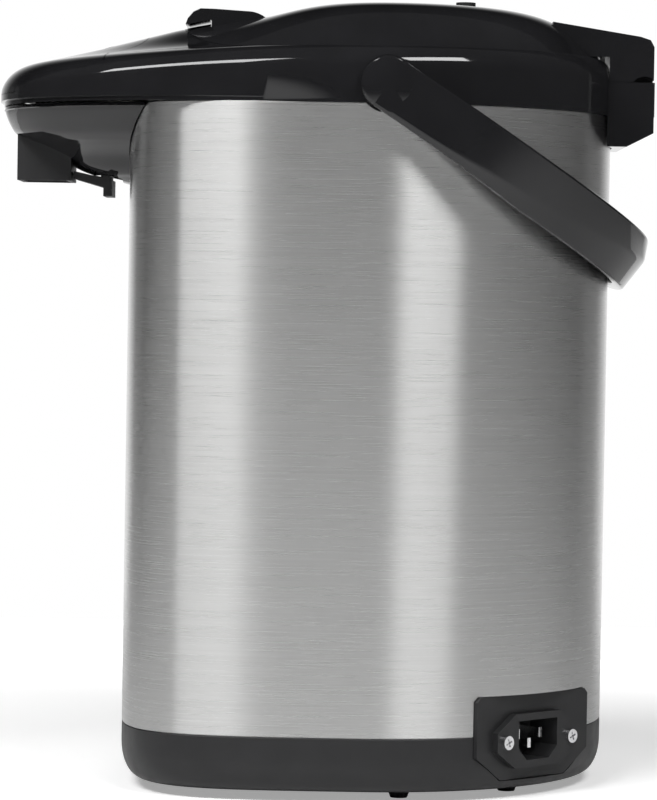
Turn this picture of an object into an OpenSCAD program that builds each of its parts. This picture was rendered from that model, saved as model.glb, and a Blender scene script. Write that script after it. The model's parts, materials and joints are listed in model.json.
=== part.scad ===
// Electric thermo pot: steel body, black nose with the spout, hinged lid with an air pump, bail handle.
// Millimetres. The origin is on the table under the body's axis, the spout points to -Y, +Z is up.

/* [Body] */
// Radius of the steel body at its sides and back
body_r = 104; // [101:0.5:108]
// From the axis to the front of the steel body
body_front = 102; // [99:0.5:104]
// How square the front half of the body is
body_square = 4.4; // [3.8:0.1:4.6]
// Thickness of the steel sheet
shell_t = 0.8; // [0.6:0.1:1]
// Height of the steel's lower edge
shell_z = 26.7; // [25:0.1:29]
// Height of the steel's upper edge
shell_top = 285.5; // [280:0.5:292]

/* [Base] */
// Height of the rubber feet
foot_h = 4; // [3:0.5:5]
// Radius of a foot where it meets the table
foot_r = 3.5; // [3:0.1:4.5]
// From the body's side to the circle of the feet
foot_inset = 22; // [21:0.5:24]
// How far the base's lower edge is rounded inwards
base_round_in = 7; // [6:0.5:9]
// How far up the base's lower edge is rounded
base_round_up = 14; // [12:0.5:17]
// Wall of the base housing
base_wall = 2.4; // [2:0.1:3]
// Thickness of the base plate
plate_t = 2.5; // [2.2:0.1:3]

/* [Upper housing] */
// How far the housing stands proud of the steel
housing_proud = 0.7; // [0.4:0.1:1]
// From the axis to the tip of the nose
nose_reach = 159.2; // [155:0.1:163]
// How square the nose is in plan
nose_square = 2.7; // [2.6:0.1:3]
// Height of the housing's vertical wall above the steel
housing_wall_h = 14.5; // [12:0.5:17]
// Height of the lid seam above the steel at the sides and back
seam_h = 24.5; // [22:0.5:27]
// How much higher the lid seam is at the front
seam_rise = 11.1; // [9:0.1:12]
// Wall of the moulded covers
cover_t = 2.5; // [2.2:0.1:2.8]

/* [Lid] */
// Radius of the lid's outline
lid_r = 90; // [87:0.5:92]
// How far the lid's centre is behind the axis
lid_y = 8.4; // [7:0.2:9]
// Gap round the lid and round the panel
seam_gap = 0.4; // [0.3:0.05:0.6]
// Height of the lid's crown above the side seam
crown_h = 21.2; // [20:0.1:24]

/* [Pump] */
// Radius of the pump cap
cap_r = 30; // [27:0.5:31]
// How far the pump cap is behind the axis
cap_y = 4; // [2:0.5:4]
// Turns of the pump's return spring
pump_spring_turns = 5; // [4:1:6]

/* [Handle] */
// From the body's side to the bail's outside
bail_clear = 10; // [8:0.5:14]
// From the pivot to the bail's outer end
bail_reach = 132.6; // [130:0.1:134]
// Width of the bail's strap
strap_w = 24; // [20:0.5:25]
// Thickness of the bail's strap
strap_t = 6.7; // [5.5:0.1:7]
// How far the pivot is behind the axis
pivot_y = 5.9; // [4:0.1:8]
// Height of the handle's pivot above the steel
pivot_rise = 7.5; // [5.5:0.5:9.5]
// How far below level the bail hangs at rest
bail_rest_angle = 32.5; // [28:0.1:36]

/* [Spout] */
// Width of the spout nozzle
nozzle_w = 34; // [28:1:38]
// Depth of the spout nozzle, front to back
nozzle_d = 23; // [20:0.5:24]
// Depth of the spout's mouth under the steel's upper edge
nozzle_drop = 31; // [28:0.5:35]
// Width of the cup lever
cup_lever_w = 26; // [20:1:30]

/* [Inlet] */
// Direction of the inlet panel, from the side towards the back
inlet_angle = 45.5; // [42:0.5:50]
// Half of the panel's width
panel_half_w = 34.5; // [32:0.5:36]
// Height of the panel's upper edge
panel_top = 43; // [41:0.5:46]
// How far the inlet panel's face lies behind the body's round side
panel_sink = 4; // [3.4:0.2:5]
// Height of the inlet's centre
inlet_z = 24; // [22:0.5:26]
// Spacing of the inlet's two screws, as in the mains inlet standard
inlet_screw_pitch = 40; // [40:0.1:40]

/* [Tank] */
// Outer radius of the inner tank
tank_r = 80; // [76:0.5:81]
// How far the tank's centre is behind the axis
tank_y = 4; // [2:0.5:5]
// Thickness of the tank's sheet
tank_t = 0.8; // [0.6:0.1:1]
// Height of the tank's floor
tank_z = 62; // [60:1:70]

/* [Fits] */
// Radial play of a turning pin in its bore
pin_play = 0.05; // [0.02:0.01:0.1]
// Radius of the small lever pins
lever_pin_r = 1.5; // [1.2:0.1:2]
// Radius of the handle's pivot pins
pivot_pin_r = 4; // [3:0.5:5]
// Radius of the lid's hinge pin
hinge_pin_r = 2; // [1.5:0.1:2.2]
// Half of the hinge's width
hinge_half_w = 28; // [24:1:30]

/* [Hidden] */
$fn = 48;

// Colours, as the photograph shows them
gloss_black = "#262626";
satin_black = "#3a3a3a";
steel_grey = "#b9b9b9";
bright_metal = "#dcdcdc";
rubber_black = "#1c1c1c";
clear_blue = "#bcd8e8";
board_green = "#2f6b3c";
white_plastic = "#e8e6e0";

// Count of points round a plan outline
plan_points = 60;

// Heights and widths that follow from the driving ones
seam_z = shell_top + seam_h;
bail_half_w = body_r + bail_clear;
pivot_z = shell_top + pivot_rise;
nozzle_z = shell_top - nozzle_drop;
panel_face = body_r - panel_sink;
foot_circle_r = body_r - foot_inset;
wall_z = shell_top + housing_wall_h;
crown_z = seam_z + crown_h;
base_z = foot_h;
plate_top = base_z + plate_t;
tank_top = shell_top;
flange_w = 4;
flange_t = 1.2;
collar_t = 2.4;
plate_z = shell_top + 10.5;
lid_plate_t = 2.5;
// Small enough to clear the housing's rim behind it as the lid swings up
lid_plate_r = lid_r - 5;
skirt_z = seam_z - 3.2;
skirt_in = 2.2;
lid_front_y = lid_y - lid_r;

// Lengths along the nose
nose_ledge_h = 1.5;
nose_corner_h = 9.8;
nose_corner_share = 0.13;
nose_wall_drop = 10;

// ---------- outlines and lofts ----------

function sgn_pow(v, e) = sign(v) * pow(abs(v), e);
function squircle(a, b, p, t) = [a * sgn_pow(cos(t), 2 / p), b * sgn_pow(sin(t), 2 / p)];
function half_round(r, front, square, t) =
    t <= 180 ? r * [cos(t), sin(t)] : squircle(r, front, square, t);
function body_point(grow, t) = half_round(body_r + grow, body_front + grow, body_square, t);
function housing_point(grow, t) =
    half_round(body_r + housing_proud + grow, nose_reach + grow, nose_square, t);
function lid_point(r, t) = [r * cos(t), lid_y + r * sin(t)];
function around(n) = [for (i = [0:n - 1]) 360 * i / n];
function at_z(p, z) = [p[0], p[1], z];

// 0 at the sides and back, 1 at the very front
function frontness(t, e) = t > 180 ? pow(-sin(t), e) : 0;
// Height of the lid seam, which rises towards the front
function seam_height(t) = seam_z + seam_rise * pow(max(0, lid_point(lid_r, t)[1] / lid_front_y), 8);

// A closed solid through stacked rings of points; every ring runs the same way round
module loft(rings) {
    n = len(rings[0]);
    m = len(rings);
    polyhedron(
        points = [for (ring = rings) each ring],
        faces = concat(
            [[for (i = [0:n - 1]) i]],
            [for (k = [0:m - 2], i = [0:n - 1]) let (j = (i + 1) % n)
                each [[k * n + i, (k + 1) * n + i, (k + 1) * n + j],
                    [k * n + i, (k + 1) * n + j, k * n + j]]],
            [[for (i = [n - 1:-1:0]) (m - 1) * n + i]]),
        convexity = 8);
}

// A closed wall: rings up its outside and down its inside, the last one joined to the first
module shell_loft(rings) {
    n = len(rings[0]);
    m = len(rings);
    polyhedron(
        points = [for (ring = rings) each ring],
        faces = [for (k = [0:m - 1], i = [0:n - 1])
            let (j = (i + 1) % n, a = k * n, b = ((k + 1) % m) * n)
            each [[a + i, b + i, b + j], [a + i, b + j, a + j]]],
        convexity = 8);
}
function backwards(list) = [for (i = [len(list) - 1:-1:0]) list[i]];

module body_prism(grow, z0, z1) {
    translate([0, 0, z0])
        linear_extrude(z1 - z0) polygon([for (t = around(plan_points)) body_point(grow, t)]);
}

module at(x, y, z) translate([x, y, z]) children();

module rod(r, z0, z1) translate([0, 0, z0]) cylinder(r = r, h = z1 - z0);

// A rod along X between two places, at a height and depth
module cross_rod(r, x0, x1, y, z) translate([x0, y, z]) rotate([0, 90, 0]) cylinder(r = r, h = x1 - x0);

// A slab across X whose side view is a list of [y, z] points
module side_slab(half_w, outline) {
    rotate([90, 0, 90]) translate([0, 0, -half_w]) linear_extrude(2 * half_w) polygon(outline);
}

// A tube along Z
module pipe(r, wall, z0, z1) {
    difference() {
        rod(r, z0, z1);
        rod(r - wall, z0 - 1, z1 + 1);
    }
}

// ---------- upper housing surface ----------

housing_steps = 10;
// Height of the housing's top at a share of the way from its outer edge to the lid seam
function housing_height(t, share) =
    let (w = frontness(t, 1.5),
        edge = wall_z - nose_wall_drop * w,
        corner = seam_z - wall_z + (nose_corner_h - seam_z + wall_z) * w,
        reach = 1 - (1 - nose_corner_share) * w,
        slope = seam_height(t) - edge - corner,
        round = 2.2 - 0.2 * w,
        c = 1 - min(share / reach, 1))
    edge + corner * pow(1 - pow(c, round), 1 / round) + slope * share;
function housing_ring(grow, lift, share) =
    [for (t = around(plan_points))
        let (p = housing_point(grow, t) * (1 - share) + lid_point(lid_r, t) * share)
        at_z(p, housing_height(t, share) + lift)];
function ledge_ring(grow, z) =
    [for (t = around(plan_points))
        at_z(housing_point(grow - nose_ledge_h * frontness(t, 1), t), z)];
function housing_side(grow, lift) = concat(
    [ledge_ring(grow, shell_top), ledge_ring(grow, shell_top + nose_ledge_h)],
    [[for (t = around(plan_points)) at_z(housing_point(grow, t), shell_top + nose_ledge_h + 0.5)]],
    [for (k = [0:housing_steps]) housing_ring(grow, lift, pow(k / housing_steps, 2))]);
// The whole moulded wall, from the steel's upper edge to the lid seam and back down inside
module housing_form(grow) {
    shell_loft(concat(housing_side(grow, grow), backwards(housing_side(grow - cover_t, grow - cover_t))));
}
module housing_prism(grow, z0, z1) {
    translate([0, 0, z0])
        linear_extrude(z1 - z0) polygon([for (t = around(plan_points)) housing_point(grow, t)]);
}

// Plan of the insert on the nose: an apron that wraps its front, and a top that follows its edge
panel_y = 27.5 - nose_reach;
panel_half_x = 54;
panel_back = 36;
panel_square = 3;
panel_rim = 3;
panel_top_y = 48 - nose_reach;
panel_top_half = 80;
module panel_plan(grow, z0, z1) {
    translate([0, 0, z0]) linear_extrude(z1 - z0) {
        translate([0, panel_y])
            polygon([for (t = around(48)) squircle(panel_half_x + grow, panel_back + grow, panel_square, t)]);
        intersection() {
            polygon([for (t = around(plan_points)) housing_point(grow - panel_rim, t)]);
            translate([-panel_top_half - grow, -nose_reach])
                square([2 * (panel_top_half + grow), panel_top_y + nose_reach + grow]);
        }
    }
}
// Frame on the nose's top at a distance in front of the axis, with z along the surface's normal
nose_slope = 14.5;
nose_mid_y = 40.5 - nose_reach;
nose_mid_z = shell_top + 25.1;
module on_nose(x, along) {
    at(x, nose_mid_y, nose_mid_z) rotate([nose_slope, 0, 0]) at(0, along, 0) children();
}
button_r = 8;
button_spread = 17;
button_proud = -1.2;
button_travel = 1.5;
button_depth = 6;
lens_r = 1.6;
lens_proud = -0.2;
lens_spacing = 8;
lens_places = [-2, -1, 1, 2];
lens_along = -15;

module upper_housing() color(gloss_black) {
    difference() {
        housing_form(0);
        panel_plan(seam_gap, shell_top + nose_ledge_h + 3, crown_z);
        for (side = [-1, 1])
            cross_rod(pivot_pin_r, side * body_r - 6, side * body_r + 6, pivot_y, pivot_z);
    }
}

// The ring inside the steel's upper edge that carries the tank and closes the body
module support_ring() color(satin_black) {
    difference() {
        body_prism(-shell_t, shell_top - 4, shell_top);
        at(0, tank_y, 0) rod(tank_r + 0.5, shell_top - 5, shell_top + 1);
        at(0, level_y, 0) rod(level_r + 2.2, shell_top - 5, shell_top + 1);
    }
}

module control_panel() color(gloss_black) {
    difference() {
        intersection() {
            housing_form(0);
            panel_plan(0, shell_top + nose_ledge_h + 3.3, crown_z);
        }
        for (side = [-1, 1])
            on_nose(side * button_spread, 0) rod(button_r + seam_gap, -12, 12);
        for (i = lens_places)
            on_nose(i * lens_spacing, lens_along) rod(lens_r + pin_play, -12, 12);
    }
}

module indicator_lenses() color(clear_blue) {
    for (i = lens_places)
        on_nose(i * lens_spacing, lens_along) {
            rod(lens_r, -4, lens_proud);
            rod(lens_r + 1, -5.4, -3.9);
        }
}

module push_button(side) {
    on_nose(side * button_spread, 0) {
        rod(button_r, -button_depth + 1, button_proud);
        rod(button_r + 1.6, -button_depth, -button_depth + 1.2);
    }
}
module dispense_button() color(satin_black) push_button(1);
module reboil_button() color(satin_black) push_button(-1);

module control_board() color(board_green) {
    board_z = -button_depth - button_travel - 4;
    difference() {
        on_nose(0, -5) translate([-32, -15, board_z - 1.6]) cube([64, 30, 1.6]);
        on_nose(0, -21) translate([-spout_r - 0.8, 0, board_z - 3]) cube([2 * spout_r + 1.6, 28.6, 6]);
    }
    for (side = [-1, 1])
        on_nose(side * button_spread, 0) translate([-3, -3, board_z]) cube([6, 6, 3.6]);
    for (i = lens_places)
        on_nose(i * lens_spacing, lens_along) rod(1.5, board_z, -5.8);
}

// ---------- steel body and level window ----------

level_y = 9.5 - body_front;
level_r = 5;
window_half_w = 7;
window_z0 = 82;
window_z1 = 244;
bezel_rim = 3;

module outer_shell() color(steel_grey) {
    difference() {
        body_prism(0, shell_z, shell_top);
        body_prism(-shell_t, shell_z - 1, shell_top + 1);
        inlet_cutout(0.3);
        translate([-window_half_w - bezel_rim - 0.2, -body_front - 5, window_z0 - bezel_rim - 0.2])
            cube([2 * (window_half_w + bezel_rim + 0.2), 10, window_z1 - window_z0 + 2 * bezel_rim + 0.4]);
    }
}

module gauge_bezel() color(gloss_black) {
    difference() {
        translate([-window_half_w - bezel_rim, -body_front - 0.2, window_z0 - bezel_rim])
            cube([2 * (window_half_w + bezel_rim), 1.8, window_z1 - window_z0 + 2 * bezel_rim]);
        translate([-window_half_w, -body_front - 1, window_z0])
            cube([2 * window_half_w, 4, window_z1 - window_z0]);
    }
}

module gauge_window() color(clear_blue) {
    translate([-window_half_w, -body_front, window_z0])
        cube([2 * window_half_w, 1.5, window_z1 - window_z0]);
}

// ---------- base ----------

function base_in(z) =
    let (c = 1 - min((z - base_z) / base_round_up, 1))
    base_round_in * (1 - sqrt(1 - c * c));
base_levels = [0, 0.04, 0.13, 0.26, 0.45, 0.7, 1];
function base_ring(inset, z) = [for (t = around(plan_points)) at_z(body_point(-base_in(z) - inset, t), z)];
// The tongue that stands inside the steel's lower edge
lip_h = 6;
function lip_ring(inset, z) =
    [for (t = around(plan_points)) at_z(body_point(-shell_t - 0.2 - inset, t), z)];

screw_r = 1.6;
plate_gap = 0.2;

module base_housing() color(satin_black) {
    difference() {
        shell_loft(concat(
            [for (s = base_levels) base_ring(0, base_z + base_round_up * s)],
            [base_ring(0, shell_z)],
            [for (z = [shell_z, shell_z + lip_h]) lip_ring(0, z)],
            [for (z = [shell_z + lip_h, shell_z]) lip_ring(base_wall, z)],
            backwards([for (s = base_levels) base_ring(base_wall, base_z + base_round_up * s)])));
        inlet_cutout(0.3);
    }
}

module base_plate() color(satin_black) {
    difference() {
        translate([0, 0, base_z]) linear_extrude(plate_t)
            polygon([for (t = around(plan_points)) body_point(-base_round_in - base_wall - plate_gap, t)]);
        bracket_places() rod(screw_r + 0.3, base_z - 1, plate_top + 1);
        bracket_places() rod(3.6, base_z - 1, base_z + 1.2);
        feet_places() rod(2.3, base_z - 1, plate_top + 1);
        inlet_cutout(0.3);
    }
}

// Directions of the feet, clear of the inlet, the pump and the bracket's screws
foot_angles = [11, 48.5, 131.5, 169, 240, 300];
module feet_places() {
    for (a = foot_angles) rotate([0, 0, a]) at(foot_circle_r, 0, 0) children();
}

module rubber_feet() color(rubber_black) {
    feet_places() {
        cylinder(r1 = foot_r, r2 = foot_r + 1.5, h = foot_h);
        rod(2.2, foot_h - 0.1, plate_top);
        rod(3.2, plate_top, plate_top + 1.4);
    }
}

module base_screws() color(bright_metal) {
    bracket_places() {
        rod(3.2, base_z + 0.2, base_z + 1.2);
        rod(screw_r, base_z + 1.1, plate_top + 12);
    }
}

// ---------- mains inlet ----------

panel_t = 2.4;
panel_side_z = 18;
panel_bottom = 8;
panel_bottom_half = 20;
flange_half_w = 25;
flange_half_h = 11.25;
flange_proud = 3;
module facing_inlet() rotate([0, 0, inlet_angle]) rotate([90, 0, 90]) children();

// The panel's outline: square above, its lower corners cut off
module panel_outline(grow) {
    w = panel_half_w + grow;
    b = panel_bottom_half + grow;
    polygon([[-w, panel_side_z], [-b, panel_bottom - grow], [b, panel_bottom - grow], [w, panel_side_z],
        [w, panel_top + grow - 2], [w - 2, panel_top + grow], [2 - w, panel_top + grow],
        [-w, panel_top + grow - 2]]);
}
module inlet_cutout(gap) {
    facing_inlet() at(0, 0, panel_face - 12) linear_extrude(20) panel_outline(gap);
}

module inlet_panel() color(satin_black) {
    difference() {
        union() {
            facing_inlet() at(0, 0, panel_face - panel_t) linear_extrude(panel_t) panel_outline(0);
            difference() {
                facing_inlet() at(0, 0, panel_face - 11) linear_extrude(11) panel_outline(0);
                facing_inlet() at(0, 0, panel_face - 12) linear_extrude(13) panel_outline(-2);
            }
        }
        facing_inlet() at(0, inlet_z, panel_face - 5) linear_extrude(10)
            square([inlet_body_w + 0.4, inlet_body_h + 0.4], center = true);
        inlet_screw_places() rod(1.6, panel_face - 6, panel_face + 1);
    }
}

inlet_body_w = 27;
inlet_body_h = 20;
socket_w = 24;
socket_h = 16.5;
socket_depth = 15;
inlet_back = 22;
module inlet_screw_places() {
    for (side = [-1, 1])
        facing_inlet() at(side * inlet_screw_pitch / 2, inlet_z, 0) children();
}
// The socket's outline, with its two lower corners cut off
module socket_outline(w, h) {
    polygon([[-w / 2, h / 2], [-w / 2, -h / 2 + 5], [-w / 2 + 5, -h / 2], [w / 2 - 5, -h / 2],
        [w / 2, -h / 2 + 5], [w / 2, h / 2]]);
}
module power_inlet() color(satin_black) {
    difference() {
        union() {
            facing_inlet() at(0, inlet_z, panel_face) linear_extrude(flange_proud)
                polygon([[-flange_half_w, -4], [-flange_half_w, 4], [-14, flange_half_h], [14, flange_half_h],
                    [flange_half_w, 4], [flange_half_w, -4], [14, -flange_half_h], [-14, -flange_half_h]]);
            facing_inlet() at(0, inlet_z, panel_face - inlet_back)
                linear_extrude(inlet_back + 0.1) square([inlet_body_w, inlet_body_h], center = true);
        }
        facing_inlet() at(0, inlet_z, panel_face + flange_proud - socket_depth)
            linear_extrude(socket_depth + 1) socket_outline(socket_w, socket_h);
        inlet_screw_places() rod(1.6, panel_face - 1, panel_face + flange_proud + 1);
        pin_places() cube([4.0, 2.0, 60], center = true);
    }
}

pin_spacing = 14;
module pin_places() {
    for (p = [[-pin_spacing / 2, 2], [0, -2], [pin_spacing / 2, 2]])
        facing_inlet() at(p[0], inlet_z + p[1], panel_face) rotate([0, 0, 90]) children();
}
module inlet_pins() color(bright_metal) {
    pin_places() translate([-2, -1, -inlet_back - 5]) cube([4, 2, inlet_back + 3]);
}

module inlet_screws() color(bright_metal) {
    inlet_screw_places() {
        rod(1.55, panel_face - 8, panel_face + flange_proud);
        difference() {
            rod(2.9, panel_face + flange_proud, panel_face + flange_proud + 1.8);
            for (turn = [0, 90])
                rotate([0, 0, turn + 20])
                    translate([-1.8, -0.4, panel_face + flange_proud + 1]) cube([3.6, 0.8, 2]);
        }
    }
}

// ---------- nose cover, spout and cup lever ----------

// The cover below the nose: depth under the steel's upper edge, half width, distance behind the nose's tip
cover_levels = [[0.1, 91, 1.2], [3.3, 88, 2], [7.3, 82, 3.7], [11.2, 75, 6.4], [14, 68, 11.9],
    [16, 61, 18.3], [20.5, 50, 26.2], [25.2, 41, 32.3], [27.9, 36, 39.1], [29.3, 32, 45.2], [31.8, 27, 54.8]];
cover_square = 2.6;
function cover_rings(inset) = [for (k = [len(cover_levels) - 1:-1:0])
    let (level = cover_levels[k])
    [for (t = around(48))
        at_z(squircle(level[1] - inset, nose_reach - level[2] - inset, cover_square, t),
            shell_top - level[0] + inset * min(1, level[0] / 12))]];

nozzle_y = 19.3 - nose_reach;
nozzle_t = 2;
nozzle_top = shell_top - 9.5;
lever_y = nozzle_y + 26.5;
lever_z = shell_top - 26.5;
cover_cut_z = shell_top - 45.5;

module nose_cover() color(gloss_black) {
    difference() {
        loft(concat(cover_rings(0), backwards(cover_rings(cover_t))));
        cross_rod(lever_pin_r, -cup_lever_w / 2 - 4, cup_lever_w / 2 + 4, lever_y, lever_z);
        body_prism(seam_gap, shell_top - 50, shell_top + 1);
        translate([-150, -74, shell_top - 50]) cube([300, 250, 60]);
        translate([-nozzle_w / 2 - 0.3, nozzle_y - nozzle_d / 2 - 0.3, cover_cut_z])
            cube([nozzle_w + 0.6, nozzle_d + 0.6, 40]);
        translate([-cup_lever_w / 2 - 0.6, lever_y - 5, cover_cut_z]) cube([cup_lever_w + 1.2, 12, 24]);
    }
    for (side = [-1, 1])
        difference() {
            translate([side * (cup_lever_w / 2 + 2.1) - 1.5, lever_y - 4, lever_z - 2]) cube([3, 6, 10]);
            cross_rod(lever_pin_r, -20, 20, lever_y, lever_z);
        }
}

module spout_nozzle() color(rubber_black) {
    difference() {
        translate([-nozzle_w / 2, nozzle_y - nozzle_d / 2, nozzle_z])
            cube([nozzle_w, nozzle_d, nozzle_top - nozzle_z]);
        translate([-nozzle_w / 2 + nozzle_t, nozzle_y - nozzle_d / 2 + nozzle_t, nozzle_z - 1])
            cube([nozzle_w - 2 * nozzle_t, nozzle_d - 2 * nozzle_t, nozzle_top - nozzle_z - nozzle_t + 1]);
        at(0, nozzle_y, 0) rod(spout_r + 0.1, nozzle_top - 5, nozzle_top + 1);
    }
}

spout_r = 6;
spout_wall = 1;
spout_run_z = shell_top + 8;
bend_r = 9;
// A quarter bend of tube from straight up to level, towards -Y
module bend(r, wall) {
    rotate([90, 0, -90]) rotate_extrude(angle = 90) at(bend_r, 0, 0) difference() {
        circle(r = r);
        circle(r = r - wall);
    }
}
module spout_tube() color(white_plastic) {
    at(0, level_y, 0) pipe(spout_r, spout_wall, level_top - 10, spout_run_z - bend_r);
    at(0, level_y - bend_r, spout_run_z - bend_r) rotate([0, 0, 180]) bend(spout_r, spout_wall);
    at(0, level_y - bend_r, spout_run_z) rotate([90, 0, 0])
        pipe(spout_r, spout_wall, 0, level_y - nozzle_y - 2 * bend_r);
    at(0, nozzle_y + bend_r, spout_run_z - bend_r) bend(spout_r, spout_wall);
    at(0, nozzle_y, 0) pipe(spout_r, spout_wall, nozzle_top - 12, spout_run_z - bend_r);
}

module cup_lever() color(rubber_black) {
    difference() {
        union() {
            side_slab(cup_lever_w / 2, [[lever_y - 14, lever_z - 3.4], [lever_y - 14, lever_z - 0.2],
                [lever_y - 6.6, lever_z - 1.8], [lever_y - 2.5, lever_z - 2.4],
                [lever_y + 2.5, lever_z - 3.8], [lever_y + 2.5, lever_z - 10.8],
                [lever_y - 1.2, lever_z - 10.8], [lever_y - 1.2, lever_z - 7]]);
            cross_rod(2.8, -cup_lever_w / 2, cup_lever_w / 2, lever_y, lever_z);
            translate([-cup_lever_w / 2, lever_y - 1.5, lever_z - 5]) cube([cup_lever_w, 3, 5]);
        }
        cross_rod(lever_pin_r + pin_play, -20, 20, lever_y, lever_z);
    }
}

module cup_lever_pin() color(bright_metal) {
    cross_rod(lever_pin_r, -cup_lever_w / 2 - 3.4, cup_lever_w / 2 + 3.4, lever_y, lever_z);
}

module cup_switch() color(satin_black) {
    translate([cup_lever_w / 2 - 14, lever_y - 7.5, lever_z + 5]) cube([12, 6, 8]);
    at(cup_lever_w / 2 - 8, lever_y - 5.5, 0) rod(1.5, lever_z + 3.6, lever_z + 5.1);
}

// ---------- water side ----------

pump_y = -56;
pump_r = 17;
pump_z = 30;
pump_h = 16;
hose_r = 6;
hose_t = 1.5;
rotor_r = 13;
level_foot_z = pump_z + pump_h / 2 + bend_r;
level_top = 272;
module level_tube() color(clear_blue) at(0, level_y, 0) pipe(level_r, 1, level_foot_z, level_top);

module inner_tank() color(bright_metal) {
    at(0, tank_y, 0) difference() {
        rotate_extrude($fn = 96) polygon([[0, tank_z], [tank_r - 8, tank_z], [tank_r - 2.3, tank_z + 2.3],
            [tank_r, tank_z + 8], [tank_r, tank_top], [tank_r + flange_w, tank_top],
            [tank_r + flange_w, tank_top + flange_t], [tank_r - tank_t, tank_top + flange_t],
            [tank_r - tank_t, tank_z + 8], [tank_r - 2.9, tank_z + 3], [tank_r - 8, tank_z + tank_t],
            [0, tank_z + tank_t]]);
        at(0, pump_y - tank_y, 0) rod(hose_r - hose_t, tank_z - 1, tank_z + 2);
    }
}

module tank_collar() color(rubber_black) {
    at(0, tank_y, 0) rotate_extrude($fn = 96)
        translate([tank_r - tank_t, tank_top + flange_t]) square([flange_w + 2, collar_t]);
}

heater_r = 50;
heater_t = 5;
module heater_plate() color(bright_metal) {
    at(0, tank_y + 12, 0) difference() {
        rod(heater_r, tank_z - heater_t, tank_z);
        rod(12, tank_z - heater_t - 1, tank_z + 1);
    }
}

module thermostats() color(white_plastic) {
    for (x = [-30, 30]) at(x, tank_y + 16, 0) rod(8, tank_z - heater_t - 7, tank_z - heater_t);
}

bracket_t = 1.5;
bracket_bolt_r = 2;
bracket_angles = [15, 165, 220, 320];
module bracket_places() {
    for (a = bracket_angles) at(0, tank_y, 0) rotate([0, 0, a]) at(tank_r + 2, 0, 0) children();
}
module tank_bracket() color(steel_grey) {
    difference() {
        union() {
            at(0, tank_y, 0) pipe(tank_r + 8, 24, tank_z - bracket_t, tank_z);
            bracket_places() rod(3.6, plate_top, tank_z - bracket_t);
        }
        bracket_places() {
            rod(bracket_bolt_r, tank_z - 22, tank_z + 1);
            rod(screw_r, plate_top - 1, plate_top + 14);
        }
        at(0, pump_y, 0) rod(hose_r + 1, tank_z - 4, tank_z + 2);
    }
}
module bracket_bolts() color(bright_metal) {
    bracket_places() {
        rod(bracket_bolt_r, tank_z - 20, tank_z);
        rod(3.4, tank_z, tank_z + 2.4);
    }
}

module pump_body() color(white_plastic) {
    at(0, pump_y, 0) difference() {
        union() {
            rod(pump_r, pump_z, pump_z + pump_h);
            rod(hose_r - hose_t, pump_z + pump_h - 1, pump_z + pump_h + 6);
            at(0, 0, pump_z + pump_h / 2) rotate([90, 0, 0])
                rod(level_r, pump_r - 2, pump_y - level_y - bend_r);
        }
        rod(rotor_r + 1.5, pump_z + 2, pump_z + pump_h - 2);
        rod(hose_r - hose_t - 1.2, pump_z + pump_h - 3, pump_z + pump_h + 7);
        at(0, 0, pump_z + pump_h / 2) rotate([90, 0, 0]) rod(level_r - 1.5, rotor_r, pump_y - level_y + 1);
    }
    at(0, pump_y, 0) rod(lever_pin_r, pump_z + 1.9, pump_z + pump_h - 4);
}
module pump_impeller() color(satin_black) {
    at(0, pump_y, 0) difference() {
        union() {
            rod(rotor_r, pump_z + 2.5, pump_z + 5);
            rod(3.5, pump_z + 2.5, pump_z + pump_h - 5);
            for (i = [0:5]) rotate([0, 0, 60 * i])
                translate([2.5, -0.7, pump_z + 4.5]) cube([rotor_r - 3, 1.4, pump_h - 9.5]);
        }
        rod(lever_pin_r + pin_play, pump_z, pump_z + pump_h);
    }
}
module pump_motor() color(bright_metal) {
    at(0, pump_y, 0) rod(pump_r - 4, plate_top, pump_z);
}
module inlet_hose() color(white_plastic) {
    at(0, pump_y, 0) pipe(hose_r, hose_t, pump_z + pump_h, tank_z);
}
module outlet_elbow() color(white_plastic) {
    at(0, level_y + bend_r, level_foot_z) mirror([0, 0, 1]) bend(level_r, 1.5);
}

module power_board() color(board_green) {
    board_z = 20;
    difference() {
        translate([-36, -18, board_z]) cube([72, 62, 1.6]);
        for (x = [-32, 32], y = [-14, 40]) at(x, y, 0) rod(1.6, board_z - 1, board_z + 3);
    }
    for (x = [-32, 32], y = [-14, 40]) at(x, y, 0) rod(3, plate_top, board_z);
    translate([-30, 8, board_z + 1.6]) cube([24, 20, 17]);
    translate([4, 12, board_z + 1.6]) cube([15, 12, 14]);
    translate([22, 12, board_z + 1.6]) cube([8, 20, 12]);
    for (x = [-8, 4]) at(x, 0, 0) rod(4.5, board_z + 1.6, board_z + 16);
}

// ---------- handle ----------

bail_square = 2.5;
// How far the strap's middle is below the line through the pivots, and its rounded ends
strap_low = 1.4;
strap_end_r = 11;
bail_stations = 40;
boss_r = 11.8;
boss_gap = 0.4;
arm_inner = bail_half_w - strap_t;
// How far round the bail a place is, from 0 at the pivots to 1 at its far end
function far(t) = pow(sin(t), 1.5);
// Section of the strap: [across its width, inwards from its outer face]. Its ridge climbs from the
// lower edge at the pivots to the middle at the far end.
function strap_section(t) = let (f = far(t), w = strap_end_r + (strap_w / 2 - strap_end_r) * min(1, 3 * f),
    low = strap_low * min(1, 3 * f))
    [for (c = [[1, 1.4 + 2.8 * f], [0.92, 0.5 + 2.5 * f], [1.04 * f - 0.8, 0], [-0.92, 0.3 + 0.9 * f],
        [-1, 1.2 + 1.2 * f], [-1, strap_t - 0.8], [-0.92, strap_t], [0.92, strap_t], [1, strap_t - 0.8]])
        [c[0] * w - low, c[1]]];
function bail_point(inset, t) =
    [(bail_half_w - inset) * sgn_pow(cos(t), 2 / bail_square),
        (bail_reach - inset) * sgn_pow(sin(t), 2 / bail_square)];
// Even steps along the bail, slower round its corners
function bail_t(k) = let (s = k / bail_stations) 180 * (s - 0.12 * sin(720 * s) / 2);

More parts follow.
